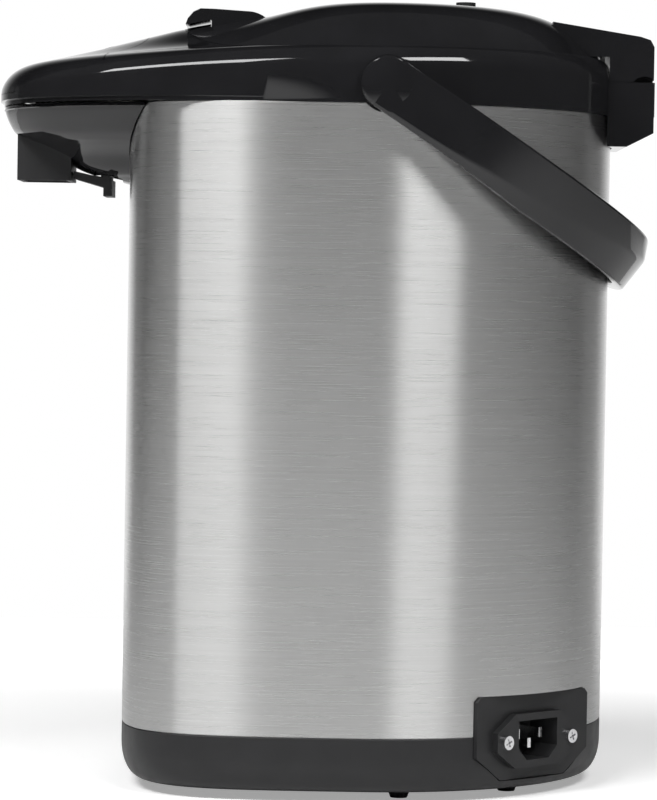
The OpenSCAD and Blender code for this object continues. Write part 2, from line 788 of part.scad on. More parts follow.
module bail_strap() {
    rings = [for (k = [0:bail_stations])
        [for (c = strap_section(bail_t(k)))
            let (p = bail_point(c[1], bail_t(k))) [p[0], p[1], c[0]]]];
    loft(rings);
}
module handle() color(gloss_black) {
    at(0, pivot_y, pivot_z) rotate([-bail_rest_angle, 0, 0]) difference() {
        union() {
            bail_strap();
            for (side = [-1, 1])
                cross_rod(strap_end_r, side > 0 ? arm_inner : -bail_half_w + 0.2,
                    side > 0 ? bail_half_w - 0.2 : -arm_inner, 0, 0);
        }
        cross_rod(pivot_pin_r + pin_play, arm_inner - 1, arm_inner + strap_t - 2, 0, 0);
        cross_rod(pivot_pin_r + pin_play, -arm_inner - strap_t + 2, -arm_inner + 1, 0, 0);
    }
}
module both_sides() {
    children();
    mirror([1, 0, 0]) children();
}
module handle_pivot_bosses() color(gloss_black) both_sides() {
    difference() {
        cross_rod(boss_r, body_r - 1, arm_inner - boss_gap, pivot_y, pivot_z);
        cross_rod(pivot_pin_r, body_r - 5, arm_inner + 1, pivot_y, pivot_z);
        housing_prism(0.02, pivot_z - boss_r - 1, pivot_z + boss_r + 1);
    }
}
module handle_pivot_pins() color(bright_metal) both_sides() {
    cross_rod(pivot_pin_r, body_r - 4, arm_inner + strap_t - 2.4, pivot_y, pivot_z);
    cross_rod(pivot_pin_r + 3, body_r - 5.2, body_r - 3.2, pivot_y, pivot_z);
}

// ---------- hinge ----------

hinge_y = body_r + 12.3;
hinge_back = hinge_y + 4.4;
hinge_split = shell_top + 14.4;
hinge_z = hinge_split - 3.2;
hinge_seam = shell_top - 0.3;
barrel_r = 4.3;
barrel_half = 22;
notch_r = 5.6;

module hinge_bracket() color(gloss_black) {
    difference() {
        side_slab(hinge_half_w, [[body_r - 13, hinge_seam], [hinge_back, hinge_seam],
            [hinge_back, hinge_split], [body_r - 13, hinge_split]]);
        translate([0, 0, shell_top - 10]) linear_extrude(60)
            polygon([for (t = around(plan_points)) housing_point(0.05, t)]);
        cross_rod(notch_r, -barrel_half - 0.4, barrel_half + 0.4, hinge_y, hinge_z);
        cross_rod(hinge_pin_r, -hinge_half_w - 1, hinge_half_w - 2, hinge_y, hinge_z);
    }
}
module hinge_lower_cover() color(gloss_black) {
    difference() {
        side_slab(hinge_half_w, [[body_r - 13, shell_top - 13], [body_r + 5.1, shell_top - 13],
            [hinge_back - 0.2, shell_top - 7.1], [hinge_back - 0.2, hinge_seam], [body_r - 13, hinge_seam]]);
        translate([0, 0, shell_top - 20]) linear_extrude(60)
            polygon([for (t = around(plan_points)) housing_point(0.05, t)]);
    }
}
module hinge_pin() color(bright_metal) {
    cross_rod(hinge_pin_r, -hinge_half_w + 1, hinge_half_w - 2, hinge_y, hinge_z);
}

// ---------- lid ----------

lid_steps = 9;
// Height of the lid's dome at a share of its radius
function lid_height(t, share) =
    let (w = frontness(t, 2), power = 5.6 - 4.1 * w, blend = 1 - 0.15 * w, z = seam_height(t))
    z + (crown_z - z) * pow(1 - pow(share, power), blend);
// Height of the dome over a place in plan
function dome_z(p) =
    let (q = p - [0, lid_y], turn = atan2(q[1], q[0]), t = turn < 0 ? turn + 360 : turn)
    lid_height(t, min(1, norm(q) / (lid_r - seam_gap)));
function cap_point(r, t) = [r * cos(t), cap_y + r * sin(t)];
// Rings over the dome from the rim to the pump's opening
function dome_rings(inset, drop) =
    [for (k = [0:lid_steps])
        let (share = pow(k / lid_steps, 1.7))
        [for (t = around(plan_points))
            let (p = lid_point(lid_r - seam_gap, t) * (1 - share) + cap_point(cap_r + seam_gap, t) * share,
                side = lid_point(lid_r - seam_gap - inset, t) * (1 - share)
                    + cap_point(cap_r + seam_gap + (inset > 0 ? guide_t : 0), t) * share)
            at_z(side, dome_z(p) - drop)]];
function lid_rim(inset, z) = [for (t = around(plan_points)) at_z(lid_point(lid_r - seam_gap - inset, t), z)];
function guide_ring(r, z) = [for (t = around(plan_points)) at_z(cap_point(r, t), z)];
// The dome behind the lid's centre as a turned solid
module dome_back() {
    at(0, lid_y, 0) rotate_extrude($fn = 96) polygon(concat([[0, skirt_z], [lid_r - seam_gap, skirt_z]],
        [for (k = [0:16]) let (share = sin(90 * (1 - k / 16)))
            [(lid_r - seam_gap) * share, lid_height(90, share)]]));
}

latch_y = lid_front_y + 28;
latch_z = crown_z - 16.4;
latch_r = 13.3;
latch_half_w = 20;
latch_top = crown_z - 3.4;
guide_t = 2;
guide_z = crown_z - 14.2;
lid_boss_r = 3.6;
lid_boss_circle = 60;
lid_boss_angles = [25, 155, 215, 325];
module lid_boss_places() {
    for (a = lid_boss_angles) at(0, lid_y, 0) rotate([0, 0, a]) at(lid_boss_circle, 0, 0) children();
}

// How far a post reaches into the dome's wall from below
post_bite = 1.2;
module lid_shell() color(gloss_black) {
    difference() {
        union() {
            shell_loft(concat([lid_rim(skirt_in, skirt_z)], dome_rings(0, 0),
                [guide_ring(cap_r + seam_gap, guide_z), guide_ring(cap_r + seam_gap + guide_t, guide_z)],
                backwards(dome_rings(cover_t, cover_t)), [lid_rim(cover_t, skirt_z)]));
            for (a = lid_boss_angles)
                at(lid_boss_circle * cos(a), lid_y + lid_boss_circle * sin(a), 0)
                    rod(lid_boss_r, plate_z + lid_plate_t,
                        dome_z(lid_point(lid_boss_circle, a)) - cover_t + post_bite);
            for (side = [-1, 1])
                translate([side * (latch_half_w + 2.2) - 1.6, latch_y - 4, latch_z - 4])
                    cube([3.2, 8, dome_z([latch_half_w, latch_y]) - cover_t + post_bite - latch_z + 4]);
        }
        lid_boss_places() rod(1.5, plate_z, plate_z + 16);
        translate([-5, lock_y - 3, crown_z - 12]) cube([lock_travel + 10, 6, 20]);
        cross_rod(latch_r + 0.4, -latch_half_w - 0.6, latch_half_w + 0.6, latch_y, latch_z);
        translate([-latch_half_w - 0.6, latch_y - 16, latch_z + 4]) cube([2 * latch_half_w + 1.2, 16, 30]);
        cross_rod(lever_pin_r, -latch_half_w - 5, latch_half_w + 5, latch_y, latch_z);
        translate([-7, lid_front_y - 5, bolt_z - 0.5]) cube([14, 12, 4]);
    }
}

module lid_hinge_cover() color(gloss_black) {
    difference() {
        union() {
            side_slab(hinge_half_w, [[hinge_y - 39.4, crown_z - 6], [hinge_y - 1.9, crown_z - 11.8],
                [hinge_y + 2.4, crown_z - 13.2], [hinge_back - 0.4, crown_z - 16.2],
                [hinge_back - 0.4, hinge_split + 0.2], [body_r - 6, hinge_split + 0.2],
                [body_r - 6, seam_z + 0.6], [hinge_y - 39.4, seam_z + 0.6]]);
            cross_rod(barrel_r, -barrel_half, barrel_half, hinge_y, hinge_z);
        }
        dome_back();
        housing_prism(0.6, hinge_split - 1, seam_z + 0.6);
        for (side = [-1, 1])
            cross_rod(notch_r + 0.2, side > 0 ? barrel_half : -hinge_half_w - 1,
                side > 0 ? hinge_half_w + 1 : -barrel_half, hinge_y, hinge_z);
        cross_rod(hinge_pin_r + pin_play, -hinge_half_w - 1, hinge_half_w + 1, hinge_y, hinge_z);
    }
}

module lid_inner_plate() color(bright_metal) {
    difference() {
        at(0, lid_y, 0) {
            rod(lid_plate_r, plate_z, plate_z + lid_plate_t);
            pipe(lid_plate_r, 1.2, plate_z + lid_plate_t, skirt_z + 0.4);
        }
        lid_boss_places() rod(1.6, plate_z - 1, plate_z + lid_plate_t + 1);
        at(0, cap_y, 0) rod(4, plate_z - 1, plate_z + lid_plate_t + 1);
    }
}
module lid_gasket() color(rubber_black) {
    at(0, tank_y, 0) rotate_extrude($fn = 96) translate([tank_r - 2.5, plate_z - 6.4])
        polygon([[0, 6.4], [0, 2], [1.2, 0], [3.4, 0], [4.6, 2], [4.6, 6.4]]);
}
module lid_screws() color(bright_metal) {
    lid_boss_places() {
        rod(1.5, plate_z, plate_z + 15);
        rod(2.8, plate_z - 1.6, plate_z);
    }
}
module lid_valve() color(white_plastic) {
    at(0, cap_y, 0) {
        rod(3.9, plate_z - 2, plate_z + lid_plate_t);
        rod(7, plate_z - 4, plate_z);
    }
}

// ---------- air pump in the lid ----------

cap_inside_z = crown_z - 8.2;
cap_flange_r = cap_r + 3;
cap_proud = 0.5;
module pump_cap() color(gloss_black) {
    difference() {
        union() {
            loft(concat([guide_ring(cap_r, guide_z - 2.6)],
                [for (r = cap_r * [1, 0.97, 0.8, 0.55, 0.3, 0.05])
                    [for (t = around(plan_points))
                        at_z(cap_point(r, t), dome_z(cap_point(r, t)) + (r == cap_r ? 0 : cap_proud))]]));
            at(0, cap_y, 0) rod(cap_flange_r, guide_z - 2.6, guide_z - 0.6);
            translate([7, cap_y + cap_r, guide_z - 2.6]) cube([4, lock_y - cap_y - cap_r + 2, 2]);
        }
        at(0, cap_y, 0) rod(cap_r - 2.5, guide_z - 3, cap_inside_z);
    }
}
bellows_r = 22;
bellows_folds = 6;
bellows_h = cap_inside_z - plate_z - lid_plate_t;
module pump_bellows() color(rubber_black) {
    fold = bellows_h / bellows_folds;
    at(0, cap_y, plate_z + lid_plate_t) rotate_extrude()
        polygon(concat(
            [for (i = [0:bellows_folds - 1], s = [0, 0.5]) [bellows_r + (s > 0 ? 0 : -3.5), fold * (i + s)]],
            [[bellows_r - 3.5, bellows_h], [bellows_r - 4.5, bellows_h]],
            [for (i = [bellows_folds - 1:-1:0], s = [0.5, 0])
                [bellows_r - 1 + (s > 0 ? 0 : -3.5), fold * (i + s)]]));
}

// A coil spring as one unbroken tube, with 8 rings a turn and 6 sides
module spring(r, wire, h, turns) {
    rings = [for (k = [0:turns * 8])
        let (a = 45 * k, z = wire + (h - 2 * wire) * k / (turns * 8))
        [for (s = [0:5])
            let (q = r + wire * cos(60 * s)) [q * cos(a), q * sin(a), z + wire * sin(60 * s)]]];
    mirror([0, 1, 0]) loft(rings);
}
module pump_spring() color(bright_metal) {
    at(0, cap_y, plate_z + lid_plate_t) spring(11, 0.8, bellows_h, pump_spring_turns);
}

lock_y = cap_y + cap_r + 6.6;
lock_travel = 8;
lock_r = 4.25;
module pump_lock() color(satin_black) {
    at(0, lock_y, 0) rod(lock_r, crown_z + 0.3, crown_z + 3.6);
    at(0, lock_y, 0) rod(2.6, crown_z - 6, crown_z + 0.4);
    translate([-8, lock_y - 3.9, crown_z - 7.4]) cube([16, 8.1, 3]);
    translate([-2, lock_y + 2.2, guide_z - 5.2]) cube([4, 2, crown_z - guide_z - 1]);
    translate([-2, lock_y - 2.7, guide_z - 5.2]) cube([4, 6.9, 2]);
}

// ---------- lid latch ----------

bolt_z = latch_z - 0.4;
module latch_lever() color(gloss_black) {
    difference() {
        union() {
            side_slab(latch_half_w, [[lid_front_y + 1.6, latch_top - 5.6], [lid_front_y + 2.6, latch_top - 3],
                [lid_front_y + 5, latch_top - 0.2], [lid_front_y + 8, latch_top + 1.2],
                [lid_front_y + 14, latch_top + 1.1],
                [latch_y, latch_z + latch_r], [latch_y, latch_z + latch_r - 3.5],
                [lid_front_y + 14, latch_top - 3.3], [lid_front_y + 8, latch_top - 4.5],
                [lid_front_y + 3, latch_top - 5.6]]);
            intersection() {
                difference() {
                    cross_rod(latch_r, -latch_half_w, latch_half_w, latch_y, latch_z);
                    cross_rod(latch_r - 3, -latch_half_w - 1, latch_half_w + 1, latch_y, latch_z);
                }
                translate([-latch_half_w, latch_y - 0.5, latch_z + 7]) cube([2 * latch_half_w, 14, 10]);
            }
            for (x = [-latch_half_w, latch_half_w - 4])
                translate([x + 2, 0, 0]) side_slab(2, [[lid_front_y + 12.8, latch_z + 5],
                    [latch_y - 2, latch_z + 5], [latch_y - 2, latch_z + 11.6],
                    [lid_front_y + 14, latch_top - 3.2], [lid_front_y + 12.8, latch_top - 3.5]]);
            for (x = [-latch_half_w, latch_half_w - 4])
                translate([x + 2, 0, 0]) side_slab(2, [[latch_y - 2.6, latch_z], [latch_y + 2.6, latch_z],
                    [latch_y + 4, latch_z + 11.6], [latch_y - 4, latch_z + 11.6]]);
            for (x = [-latch_half_w, latch_half_w - 4]) cross_rod(3.2, x, x + 4, latch_y, latch_z);
        }
        cross_rod(lever_pin_r + pin_play, -latch_half_w - 1, latch_half_w + 1, latch_y, latch_z);
    }
}
module latch_lever_pin() color(bright_metal) {
    cross_rod(lever_pin_r, -latch_half_w - 3.6, latch_half_w + 3.6, latch_y, latch_z);
}
module latch_bolt() color(satin_black) {
    translate([-6, lid_front_y + 0.8, bolt_z]) cube([12, 19, 3]);
}
module latch_spring() color(bright_metal) {
    at(-8, latch_y, latch_z) rotate([0, 90, 0]) spring(lever_pin_r + 1.1, 0.35, 16, 5);
}

outer_shell();
support_ring();
base_housing();
base_plate();
rubber_feet();
base_screws();
inlet_panel();
power_inlet();
inlet_pins();
inlet_screws();
upper_housing();
nose_cover();
control_panel();
indicator_lenses();
dispense_button();
reboil_button();
control_board();
spout_nozzle();
spout_tube();
level_tube();
gauge_window();
gauge_bezel();
cup_lever();
cup_lever_pin();
cup_switch();
inner_tank();
tank_collar();
heater_plate();
thermostats();
tank_bracket();
bracket_bolts();
pump_body();
pump_motor();
pump_impeller();
inlet_hose();
outlet_elbow();
power_board();
handle();
handle_pivot_bosses();
handle_pivot_pins();
hinge_bracket();
hinge_lower_cover();
hinge_pin();
lid_shell();
lid_hinge_cover();
lid_inner_plate();
lid_gasket();
lid_screws();
lid_valve();
pump_cap();
pump_bellows();
pump_spring();
pump_lock();
latch_lever();
latch_lever_pin();
latch_bolt();
latch_spring();
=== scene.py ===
"""Electric thermo pot: the looks of every piece, the lights and the camera."""
import json
import math

import bmesh
import bpy
from mathutils import Matrix, Vector


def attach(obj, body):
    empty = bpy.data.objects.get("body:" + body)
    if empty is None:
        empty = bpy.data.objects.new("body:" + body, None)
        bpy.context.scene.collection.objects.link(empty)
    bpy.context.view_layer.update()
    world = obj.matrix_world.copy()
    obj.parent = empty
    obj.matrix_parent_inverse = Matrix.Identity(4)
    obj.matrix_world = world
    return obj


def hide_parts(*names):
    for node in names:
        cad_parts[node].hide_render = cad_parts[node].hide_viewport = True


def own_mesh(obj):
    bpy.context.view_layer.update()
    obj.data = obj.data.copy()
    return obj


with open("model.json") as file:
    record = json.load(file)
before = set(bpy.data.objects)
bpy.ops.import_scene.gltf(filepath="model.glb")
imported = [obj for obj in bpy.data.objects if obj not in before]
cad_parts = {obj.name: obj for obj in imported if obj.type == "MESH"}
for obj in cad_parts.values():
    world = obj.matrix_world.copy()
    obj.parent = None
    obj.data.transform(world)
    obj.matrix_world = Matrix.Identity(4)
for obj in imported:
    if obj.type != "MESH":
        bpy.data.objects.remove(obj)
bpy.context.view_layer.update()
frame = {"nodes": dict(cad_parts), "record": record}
nodes = frame["nodes"]
MM = 0.001

# ---------- sizes in millimetres, as in the part's source ----------

body_r, body_front, body_square = 104, 102, 4.4
shell_t, shell_z, shell_top = 0.8, 26.7, 285.5
base_z, base_round_in, base_round_up, base_wall = 4, 7, 14, 2.4
housing_r, nose_reach, nose_square = 104.7, 159.2, 2.7
seam_z, seam_rise, wall_z = 310, 11.1, 300
nose_wall_drop, nose_corner_h, nose_corner_share, nose_ledge_h = 10, 9.8, 0.13, 1.5
cover_t = 2.5
lid_r, lid_y, seam_gap = 90, 8.4, 0.4
crown_z = 331.2
cap_r, cap_y, guide_t = 30, 4, 2
guide_z = crown_z - 14.2
cap_inside_z = crown_z - 8.2
lid_front_y = lid_y - lid_r
latch_y, latch_z, latch_r, latch_half_w = lid_front_y + 28, crown_z - 16.4, 13.3, 20
lock_y = cap_y + cap_r + 6.6
bail_half_w, bail_reach, bail_square, bail_angle = 114, 132.6, 2.5, 32.5
strap_w, strap_t, strap_low, strap_end_r = 24, 6.7, 1.4, 11
pivot_y, pivot_z, pivot_pin_r = 5.9, 293, 4
inlet_angle, panel_face = 45.5, 100
nozzle_w, nozzle_d, nozzle_y = 34, 23, 19.3 - nose_reach
cup_lever_w, lever_y, lever_z = 26, nozzle_y + 26.5, 259
panel_y, panel_half_x, panel_back, panel_square, panel_rim = 27.5 - nose_reach, 54, 36, 3, 3
panel_top_y, panel_top_half = 48 - nose_reach, 80
nose_mid_y, nose_mid_z, nose_slope = 40.5 - nose_reach, shell_top + 25.1, 14.5
button_r, button_spread, lens_r, lens_spacing, lens_along = 8, 17, 1.6, 8, -15
window_half_w, window_z0, window_z1, bezel_rim = 7, 82, 244, 3
ROUND = 288


# ---------- outlines ----------

def sgn_pow(v, e):
    return math.copysign(abs(v) ** e, v)


def squircle(a, b, p, t):
    return (a * sgn_pow(math.cos(t), 2 / p), b * sgn_pow(math.sin(t), 2 / p))


def half_round(r, front, square, t):
    """Round at the back, squared at the front (t over half a turn)."""
    if t <= math.pi:
        return (r * math.cos(t), r * math.sin(t))
    return squircle(r, front, square, t)


def even_turns(r, front, square):
    """Parameters that put the outline's points at even directions from the axis."""
    turns = []
    for i in range(ROUND):
        a = math.tau * i / ROUND
        if a > math.pi:
            c, s = math.cos(a) / r, math.sin(a) / front
            a = math.atan2(sgn_pow(s, square / 2), sgn_pow(c, square / 2)) % math.tau
        turns.append(a)
    return turns


body_turns = even_turns(body_r, body_front, body_square)
housing_turns = even_turns(housing_r, nose_reach, nose_square)
even = [math.tau * i / ROUND for i in range(ROUND)]


def body_point(grow, t):
    return half_round(body_r + grow, body_front + grow, body_square, t)


def housing_point(grow, t):
    return half_round(housing_r + grow, nose_reach + grow, nose_square, t)


def lid_point(r, t):
    return (r * math.cos(t), lid_y + r * math.sin(t))


def cap_point(r, t):
    return (r * math.cos(t), cap_y + r * math.sin(t))


def frontness(t, e):
    return (-math.sin(t)) ** e if t > math.pi else 0


def seam_height(t):
    return seam_z + seam_rise * max(0, lid_point(lid_r, t)[1] / lid_front_y) ** 8


def between(p, q, share):
    return (p[0] * (1 - share) + q[0] * share, p[1] * (1 - share) + q[1] * share)


def housing_height(t, share):
    w = frontness(t, 1.5)
    edge = wall_z - nose_wall_drop * w
    corner = seam_z - wall_z + (nose_corner_h - seam_z + wall_z) * w
    reach = 1 - (1 - nose_corner_share) * w
    slope = seam_height(t) - edge - corner
    rounding = 2.2 - 0.2 * w
    c = 1 - min(share / reach, 1)
    return edge + corner * (1 - c ** rounding) ** (1 / rounding) + slope * share


def lid_height(t, share):
    w = frontness(t, 2)
    power, blend, z = 5.6 - 4.1 * w, 1 - 0.15 * w, seam_height(t)
    return z + (crown_z - z) * max(0, 1 - share ** power) ** blend


def dome_z(p):
    x, y = p[0], p[1] - lid_y
    return lid_height(math.atan2(y, x) % math.tau, min(1, math.hypot(x, y) / (lid_r - seam_gap)))


# ---------- meshes ----------

def smooth(mesh, angle=32):
    mesh.shade_smooth()
    mesh.set_sharp_from_angle(angle=math.radians(angle))


def new_object(name, points, faces):
    mesh = bpy.data.meshes.new(name)
    mesh.from_pydata([Vector(p) * MM for p in points], [], faces)
    mesh.validate()
    obj = bpy.data.objects.new(name, mesh)
    bpy.context.scene.collection.objects.link(obj)
    return obj


def loft(name, rings, wall=False):
    """A closed solid through rings of points; a wall joins its last ring to its first."""
    n, m = len(rings[0]), len(rings)
    points = [p for ring in rings for p in ring]
    faces = []
    for k in range(m if wall else m - 1):
        a, b = k * n, (k + 1) % m * n
        faces += [(a + i, a + (i + 1) % n, b + (i + 1) % n, b + i) for i in range(n)]
    if not wall:
        faces += [tuple(range(n - 1, -1, -1)), tuple(range((m - 1) * n, m * n))]
    return new_object(name, points, faces)


def flat_ring(plan, z):
    return [(p[0], p[1], z) for p in plan]


def prism(name, plan, z0, z1):
    return loft(name, [flat_ring(plan, z0), flat_ring(plan, z1)])


def block(name, low, high):
    plan = [(low[0], low[1]), (high[0], low[1]), (high[0], high[1]), (low[0], high[1])]
    return prism(name, plan, low[2], high[2])


def disc(name, r, z0, z1, count=64):
    return prism(name, [(r * math.cos(math.tau * i / count), r * math.sin(math.tau * i / count))
                        for i in range(count)], z0, z1)


def cross_rod(name, r, x0, x1, y, z, count=64):
    rod = disc(name, r, x0, x1, count)
    turn = Matrix(((0, 0, 1, 0), (1, 0, 0, y * MM), (0, 1, 0, z * MM), (0, 0, 0, 1)))
    rod.data.transform(turn)
    return rod


def on_nose(x, along):
    """From the nose's tilted frame, with z along its surface's normal, to the pot's frame."""
    return (Matrix.Translation(Vector((x, nose_mid_y, nose_mid_z)) * MM)
            @ Matrix.Rotation(math.radians(nose_slope), 4, "X")
            @ Matrix.Translation(Vector((0, along, 0)) * MM))


def facing_inlet():
    """From the inlet's frame (across, up, out) to the pot's frame."""
    return Matrix.Rotation(math.radians(inlet_angle), 4, "Z") @ Matrix(
        ((0, 0, 1, 0), (1, 0, 0, 0), (0, 1, 0, 0), (0, 0, 0, 1)))


def carve(obj, tool, operation="DIFFERENCE"):
    """Cuts with a tool, which is then gone."""
    change = obj.modifiers.new("carve", "BOOLEAN")
    change.operation = operation
    change.solver = "EXACT"
    change.object = tool
    bpy.context.view_layer.update()
    result = bpy.data.meshes.new_from_object(obj.evaluated_get(bpy.context.evaluated_depsgraph_get()))
    obj.modifiers.clear()
    old = obj.data
    obj.data = result
    bpy.data.meshes.remove(old)
    drop(tool)
    return obj


def drop(obj):
    mesh = obj.data
    bpy.data.objects.remove(obj)
    bpy.data.meshes.remove(mesh)


def join(obj, other):
    """Adds another object's mesh to this one's."""
    bm = bmesh.new()
    bm.from_mesh(obj.data)
    bm.from_mesh(other.data)
    bm.to_mesh(obj.data)
    bm.free()
    drop(other)
    return obj


# ---------- materials ----------

def nodes_of(mat):
    mat.use_nodes = True
    tree = mat.node_tree
    return tree, tree.nodes["Principled BSDF"]


def grain(tree, scale, stretch=(1, 1, 1), detail=5.0, roughness=0.6):
    """A noise over the object's own coordinates; scale is in features per metre."""
    where = tree.nodes.new("ShaderNodeTexCoord")
    mapping = tree.nodes.new("ShaderNodeMapping")
    mapping.inputs["Scale"].default_value = stretch
    noise = tree.nodes.new("ShaderNodeTexNoise")
    noise.inputs["Scale"].default_value = scale
    noise.inputs["Detail"].default_value = detail
    noise.inputs["Roughness"].default_value = roughness
    tree.links.new(where.outputs["Object"], mapping.inputs["Vector"])
    tree.links.new(mapping.outputs["Vector"], noise.inputs["Vector"])
    return noise.outputs["Fac"]


def spread(tree, fac, low, high):
    """Maps a noise's middle range onto low to high."""
    node = tree.nodes.new("ShaderNodeMapRange")
    node.inputs["From Min"].default_value = 0.3
    node.inputs["From Max"].default_value = 0.7
    node.inputs["To Min"].default_value = low
    node.inputs["To Max"].default_value = high
    tree.links.new(fac, node.inputs["Value"])
    return node.outputs["Result"]


def tinted(tree, fac, dark, light):
    ramp = tree.nodes.new("ShaderNodeValToRGB")
    ramp.color_ramp.elements[0].position = 0.3
    ramp.color_ramp.elements[0].color = (*dark, 1)
    ramp.color_ramp.elements[1].position = 0.7
    ramp.color_ramp.elements[1].color = (*light, 1)
    tree.links.new(fac, ramp.inputs["Fac"])
    return ramp.outputs["Color"]


def finish_of(name, color, vary, rough, rough_vary, scale, bump=0.0, bump_scale=900, stretch=(1, 1, 1),
              metallic=0.0, wear=0.0):
    """A finish whose colour, roughness and surface all vary a little."""
    mat = bpy.data.materials.new(name)
    tree, shader = nodes_of(mat)
    fac = grain(tree, scale, stretch)
    dark = [c * (1 - vary) for c in color]
    light = [min(1, c * (1 + vary) + wear) for c in color]
    tree.links.new(tinted(tree, fac, dark, light), shader.inputs["Base Color"])
    tree.links.new(spread(tree, grain(tree, scale * 2.3, stretch), rough - rough_vary, rough + rough_vary),
                   shader.inputs["Roughness"])
    shader.inputs["Metallic"].default_value = metallic
    if bump:
        node = tree.nodes.new("ShaderNodeBump")
        node.inputs["Strength"].default_value = bump
        node.inputs["Distance"].default_value = 0.0002
        tree.links.new(grain(tree, bump_scale, stretch, 3.0), node.inputs["Height"])
        tree.links.new(node.outputs["Normal"], shader.inputs["Normal"])
    return mat


def brushed_steel():
    """Steel brushed round the body: fine level streaks that draw its reflections out upwards."""
    mat = finish_of("brushed_steel", (0.62, 0.62, 0.615), 0.04, 0.29, 0.03, 1.0, bump=0.015, bump_scale=1.0,
                    stretch=(9, 9, 1400), metallic=1.0)
    tree, shader = nodes_of(mat)
    tangent = tree.nodes.new("ShaderNodeTangent")
    tangent.direction_type = "RADIAL"
    tangent.axis = "Z"
    tree.links.new(tangent.outputs["Tangent"], shader.inputs["Tangent"])
    shader.inputs["Anisotropic"].default_value = 1.0
    shader.inputs["Anisotropic Rotation"].default_value = 0.25
    return mat


def clear():
    mat = finish_of("clear", (0.86, 0.92, 0.95), 0.03, 0.05, 0.02, 40)
    shader = nodes_of(mat)[1]
    shader.inputs["Transmission Weight"].default_value = 0.85
    shader.inputs["IOR"].default_value = 1.49
    return mat


def circuit_board():
    """Green lacquer with paler tracks under it."""
    mat = finish_of("board", (0.03, 0.15, 0.06), 0.1, 0.35, 0.05, 60, bump=0.1, bump_scale=700)
    tree, shader = nodes_of(mat)
    bricks = tree.nodes.new("ShaderNodeTexBrick")
    where = tree.nodes.new("ShaderNodeTexCoord")
    bricks.inputs["Scale"].default_value = 160
    bricks.inputs["Mortar Size"].default_value = 0.04
    bricks.inputs["Color1"].default_value = (0.02, 0.13, 0.05, 1)
    bricks.inputs["Color2"].default_value = (0.03, 0.16, 0.06, 1)
    bricks.inputs["Mortar"].default_value = (0.12, 0.3, 0.1, 1)
    tree.links.new(where.outputs["Object"], bricks.inputs["Vector"])
    tree.links.new(bricks.outputs["Color"], shader.inputs["Base Color"])
    return mat


finishes = {
    "gloss_black": finish_of("gloss_black", (0.011, 0.011, 0.012), 0.2, 0.07, 0.025, 22, bump=0.015,
                             bump_scale=350),
    "satin_black": finish_of("satin_black", (0.021, 0.021, 0.022), 0.12, 0.42, 0.05, 55, bump=0.12,
                             bump_scale=1800),
    "dark_matte": finish_of("dark_matte", (0.018, 0.018, 0.019), 0.15, 0.55, 0.06, 60, bump=0.15,
                            bump_scale=1500),
    "brushed_steel": brushed_steel(),
    "tank_steel": finish_of("tank_steel", (0.64, 0.64, 0.63), 0.05, 0.28, 0.05, 30, bump=0.05, bump_scale=400,
                            metallic=1.0),
    "fastener_steel": finish_of("fastener_steel", (0.74, 0.74, 0.75), 0.08, 0.22, 0.06, 300, bump=0.08,
                                bump_scale=2500, metallic=1.0),
    "rubber": finish_of("rubber", (0.016, 0.016, 0.017), 0.2, 0.7, 0.06, 80, bump=0.2, bump_scale=1200),
    "clear": clear(),
    "board": circuit_board(),
    "white_plastic": finish_of("white_plastic", (0.76, 0.75, 0.71), 0.03, 0.4, 0.05, 45, bump=0.06),
}
nodes_of(finishes["satin_black"])[1].inputs["Specular IOR Level"].default_value = 0.3
slot_of = {row["node"]: row["material_slot"] for row in frame["record"]["subparts"]}


def place(obj, body, slot, *replaced, angle=32):
    """Gives a new piece its finish, body and slot, and hides the nodes that it stands for."""
    smooth(obj.data, angle)
    obj.data.materials.clear()
    obj.data.materials.append(finishes[slot])
    for face in obj.data.polygons:
        face.material_index = 0
    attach(obj, body)
    if replaced:
        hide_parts(*replaced)
    return obj


def soften(obj, width, segments=2):
    """Rounds an object's edges a little, so that they catch the light."""
    bevel = obj.modifiers.new("edges", "BEVEL")
    bevel.width = width * MM
    bevel.segments = segments
    bevel.limit_method = "ANGLE"
    bevel.angle_limit = math.radians(35)
    bevel.use_clamp_overlap = True
    obj.data.shade_smooth()
    normals = obj.modifiers.new("normals", "WEIGHTED_NORMAL")
    normals.keep_sharp = False


# ---------- upper housing, its panel and the nose's cover ----------

def housing_rings(grow):
    plan = lambda g: [housing_point(g, t) for t in housing_turns]
    ledge = [housing_point(grow - nose_ledge_h * frontness(t, 1), t) for t in housing_turns]
    rings = [flat_ring(ledge, shell_top), flat_ring(ledge, shell_top + nose_ledge_h),
             flat_ring(plan(grow), shell_top + nose_ledge_h + 0.4)]
    steps = 44
    for k in range(steps + 1):
        share = (k / steps) ** 2
        lip = 0.15 if k == steps and grow == 0 else 0
        rings.append([(*between(housing_point(grow, t), lid_point(lid_r, t), share),
                       housing_height(t, share) + grow - lip) for t in housing_turns])
    return rings


def housing_form(name):
    return loft(name, housing_rings(0) + housing_rings(-cover_t)[::-1], wall=True)


def panel_prism(grow, z0):
    plan = [squircle(panel_half_x + grow, panel_back + grow, panel_square, math.tau * i / 120)
            for i in range(120)]
    apron = prism("tool", [(x, y + panel_y) for x, y in plan], z0, crown_z)
    top = prism("tool", [housing_point(grow - panel_rim, t) for t in housing_turns], z0, crown_z)
    half = panel_top_half + grow
    cut = block("tool", (-half, -nose_reach, z0 - 1), (half, panel_top_y + grow, crown_z + 1))
    carve(top, cut, "INTERSECT")
    return carve(top, apron, "UNION")


upper = housing_form("upper_housing_shell")
carve(upper, panel_prism(seam_gap, shell_top + nose_ledge_h + 3))
place(upper, "root", "gloss_black", "upper_housing")

